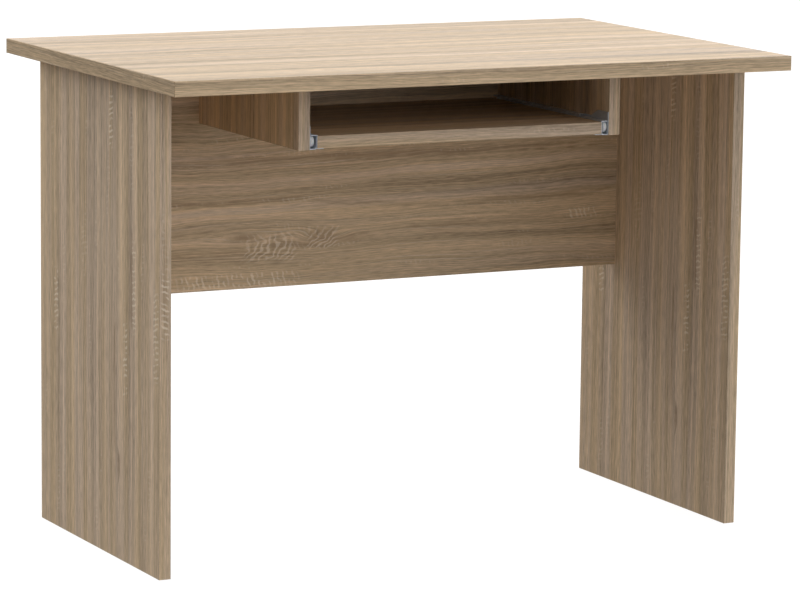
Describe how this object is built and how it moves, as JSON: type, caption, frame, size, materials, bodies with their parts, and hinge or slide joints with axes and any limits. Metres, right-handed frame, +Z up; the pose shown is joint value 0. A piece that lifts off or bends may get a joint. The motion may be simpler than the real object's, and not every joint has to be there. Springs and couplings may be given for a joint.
{
  "type": "computer desk with keyboard tray",
  "caption": "Panel-sided writing desk with a modesty panel and a keyboard tray that rolls out on roller slides between two dividers.",
  "frame": {"origin": "on the floor, under the centre of the desktop", "axes": "+Z up; +X along the desk's width, to the right of the person seated at it; the seated person and the tray's opening are on the -Y side"},
  "size_m": [1, 0.65, 0.73],
  "materials": {
    "oak_board": "matt oak decor on chipboard, fine embossed grain",
    "oak_edge_band": "matt oak decor edge band",
    "zinc_plated_steel": "zinc plated, satin",
    "zinc_alloy": "die-cast, dull grey",
    "white_nylon": "moulded, satin",
    "beech": "turned, fluted beech dowel"
  },
  "bodies": {
    "frame": {"desktop_board": "oak_board", "desktop_edge_back": "oak_edge_band", "desktop_edge_front": "oak_edge_band", "desktop_edge_left": "oak_edge_band", "desktop_edge_right": "oak_edge_band", "divider_cam_bolts": "zinc_plated_steel", "divider_cam_locks": "zinc_alloy", "divider_dowels": "beech", "left_cabinet_rail": "zinc_plated_steel", "left_cabinet_rail_screws": "zinc_plated_steel", "left_cabinet_roller_axle": "zinc_plated_steel", "left_divider": "oak_board", "left_divider_edge_bottom": "oak_edge_band", "left_divider_edge_front": "oak_edge_band", "left_side_edge_back": "oak_edge_band", "left_side_edge_front": "oak_edge_band", "left_side_panel": "oak_board", "modesty_cam_bolts": "zinc_plated_steel", "modesty_cam_locks": "zinc_alloy", "modesty_dowels": "beech", "modesty_edge_bottom": "oak_edge_band", "modesty_panel": "oak_board", "right_cabinet_rail": "zinc_plated_steel", "right_cabinet_rail_screws": "zinc_plated_steel", "right_cabinet_roller_axle": "zinc_plated_steel", "right_divider": "oak_board", "right_divider_edge_bottom": "oak_edge_band", "right_divider_edge_front": "oak_edge_band", "right_side_edge_back": "oak_edge_band", "right_side_edge_front": "oak_edge_band", "right_side_panel": "oak_board", "side_panel_cam_bolts": "zinc_plated_steel", "side_panel_cam_locks": "zinc_alloy", "side_panel_dowels": "beech"},
    "tray": {"keyboard_tray_board": "oak_board", "left_tray_rail": "zinc_plated_steel", "left_tray_rail_screws": "zinc_plated_steel", "left_tray_roller_axle": "zinc_plated_steel", "right_tray_rail": "zinc_plated_steel", "right_tray_rail_screws": "zinc_plated_steel", "right_tray_roller_axle": "zinc_plated_steel", "tray_edge_back": "oak_edge_band", "tray_edge_front": "oak_edge_band", "tray_edge_left": "oak_edge_band", "tray_edge_right": "oak_edge_band"},
    "left_cabinet_roller_wheel": {"left_cabinet_roller": "white_nylon"},
    "left_tray_roller_wheel": {"left_tray_roller": "white_nylon"},
    "right_cabinet_roller_wheel": {"right_cabinet_roller": "white_nylon"},
    "right_tray_roller_wheel": {"right_tray_roller": "white_nylon"}
  },
  "joints": [
    {"name": "tray_slide", "type": "slide", "parent": "frame", "child": "tray", "axis": [0, -1, 0], "range_m": [0, 0.25]},
    {"name": "left_cabinet_roller_spin", "type": "hinge", "parent": "frame", "child": "left_cabinet_roller_wheel", "pos_m": [-0.24075, -0.214, 0.62285], "axis": [1, 0, 0], "continuous": true},
    {"name": "left_tray_roller_spin", "type": "hinge", "parent": "tray", "child": "left_tray_roller_wheel", "pos_m": [-0.2398, 0.111, 0.62295], "axis": [1, 0, 0], "continuous": true},
    {"name": "right_cabinet_roller_spin", "type": "hinge", "parent": "frame", "child": "right_cabinet_roller_wheel", "pos_m": [0.24075, -0.214, 0.62285], "axis": [1, 0, 0], "continuous": true},
    {"name": "right_tray_roller_spin", "type": "hinge", "parent": "tray", "child": "right_tray_roller_wheel", "pos_m": [0.2398, 0.111, 0.62295], "axis": [1, 0, 0], "continuous": true}
  ],
  "couplings": [
    {"joint": "left_cabinet_roller_spin", "follows": "tray_slide", "rad_per_m": 117.65},
    {"joint": "left_tray_roller_spin", "follows": "tray_slide", "rad_per_m": 95.238},
    {"joint": "right_cabinet_roller_spin", "follows": "tray_slide", "rad_per_m": 117.65},
    {"joint": "right_tray_roller_spin", "follows": "tray_slide", "rad_per_m": 95.238}
  ]
}
